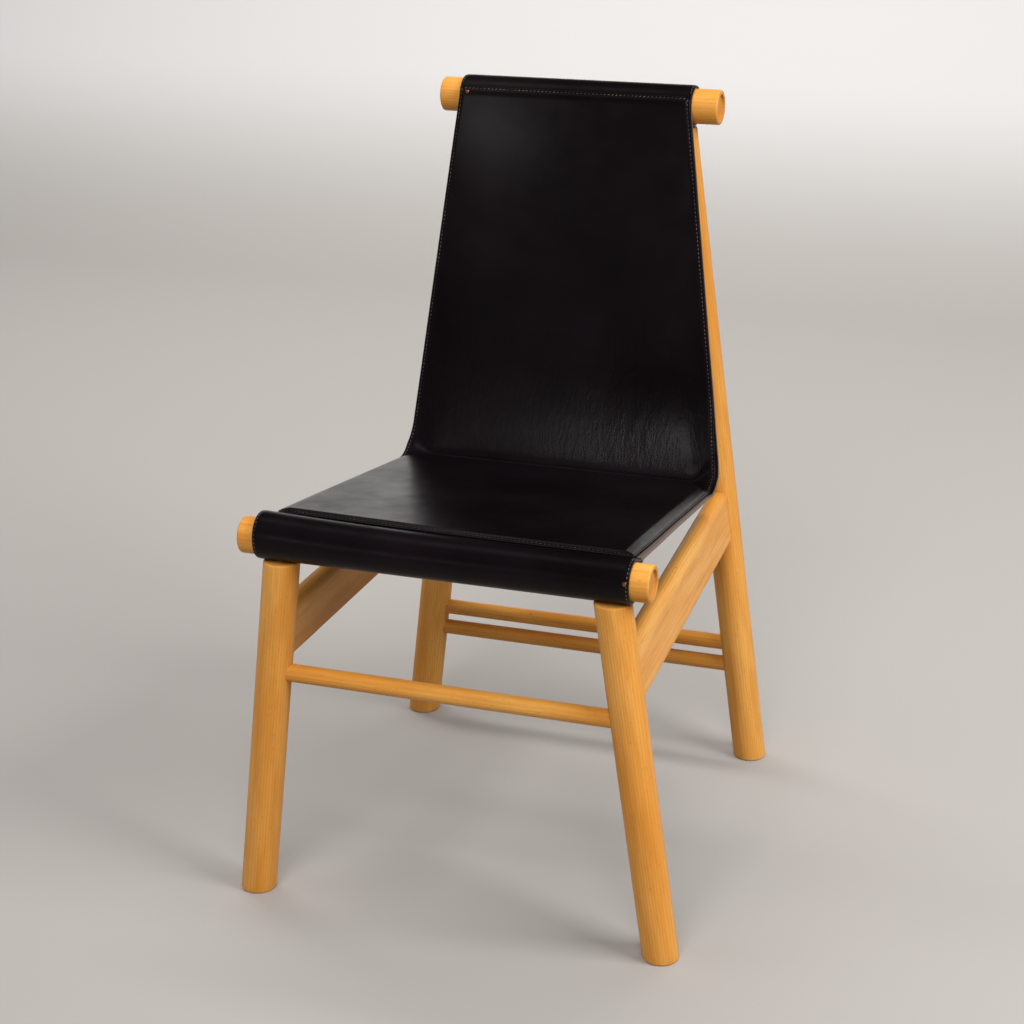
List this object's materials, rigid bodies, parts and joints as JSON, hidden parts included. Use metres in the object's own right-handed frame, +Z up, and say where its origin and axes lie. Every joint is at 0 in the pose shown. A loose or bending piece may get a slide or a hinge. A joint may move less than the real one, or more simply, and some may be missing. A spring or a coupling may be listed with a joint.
{
  "type": "sling dining chair",
  "caption": "Dining chair with splayed round wooden legs, flat side rails and a black leather sling wrapped round a front roller and a top roller.",
  "frame": {"origin": "centre of the bounding box's base, on the floor", "axes": "+Z up, the sitter looks along -Y, +X to the right when the chair is seen from the front"},
  "size_m": [0.5182, 0.5344, 0.8513],
  "materials": {
    "frame_wood": "honey coloured clear satin finish on planed and turned hardwood",
    "dowel_wood": "bare turned hardwood dowel",
    "leather": "black saddle leather, satin",
    "panel_leather": "black saddle leather, satin, lightly creased",
    "felt": "grey pressed wool felt",
    "copper": "worn copper"
  },
  "bodies": {
    "root": {"front_leg_left": "frame_wood", "front_leg_right": "frame_wood", "front_roller": "frame_wood", "front_roller_dowel_left": "dowel_wood", "front_roller_dowel_right": "dowel_wood", "front_stretcher": "frame_wood", "rail_dowel_left_front_lower": "dowel_wood", "rail_dowel_left_front_upper": "dowel_wood", "rail_dowel_left_rear_lower": "dowel_wood", "rail_dowel_left_rear_upper": "dowel_wood", "rail_dowel_right_front_lower": "dowel_wood", "rail_dowel_right_front_upper": "dowel_wood", "rail_dowel_right_rear_lower": "dowel_wood", "rail_dowel_right_rear_upper": "dowel_wood", "rear_post_left": "frame_wood", "rear_post_right": "frame_wood", "rear_stretcher_lower": "frame_wood", "rear_stretcher_upper": "frame_wood", "rivet_front_right": "copper", "rivet_top_left": "copper", "seat_pad": "felt", "side_rail_left": "frame_wood", "side_rail_right": "frame_wood", "sling_base": "leather", "sling_panel": "panel_leather", "top_roller": "frame_wood", "top_roller_dowel_left": "dowel_wood", "top_roller_dowel_right": "dowel_wood"}
  },
  "joints": []
}
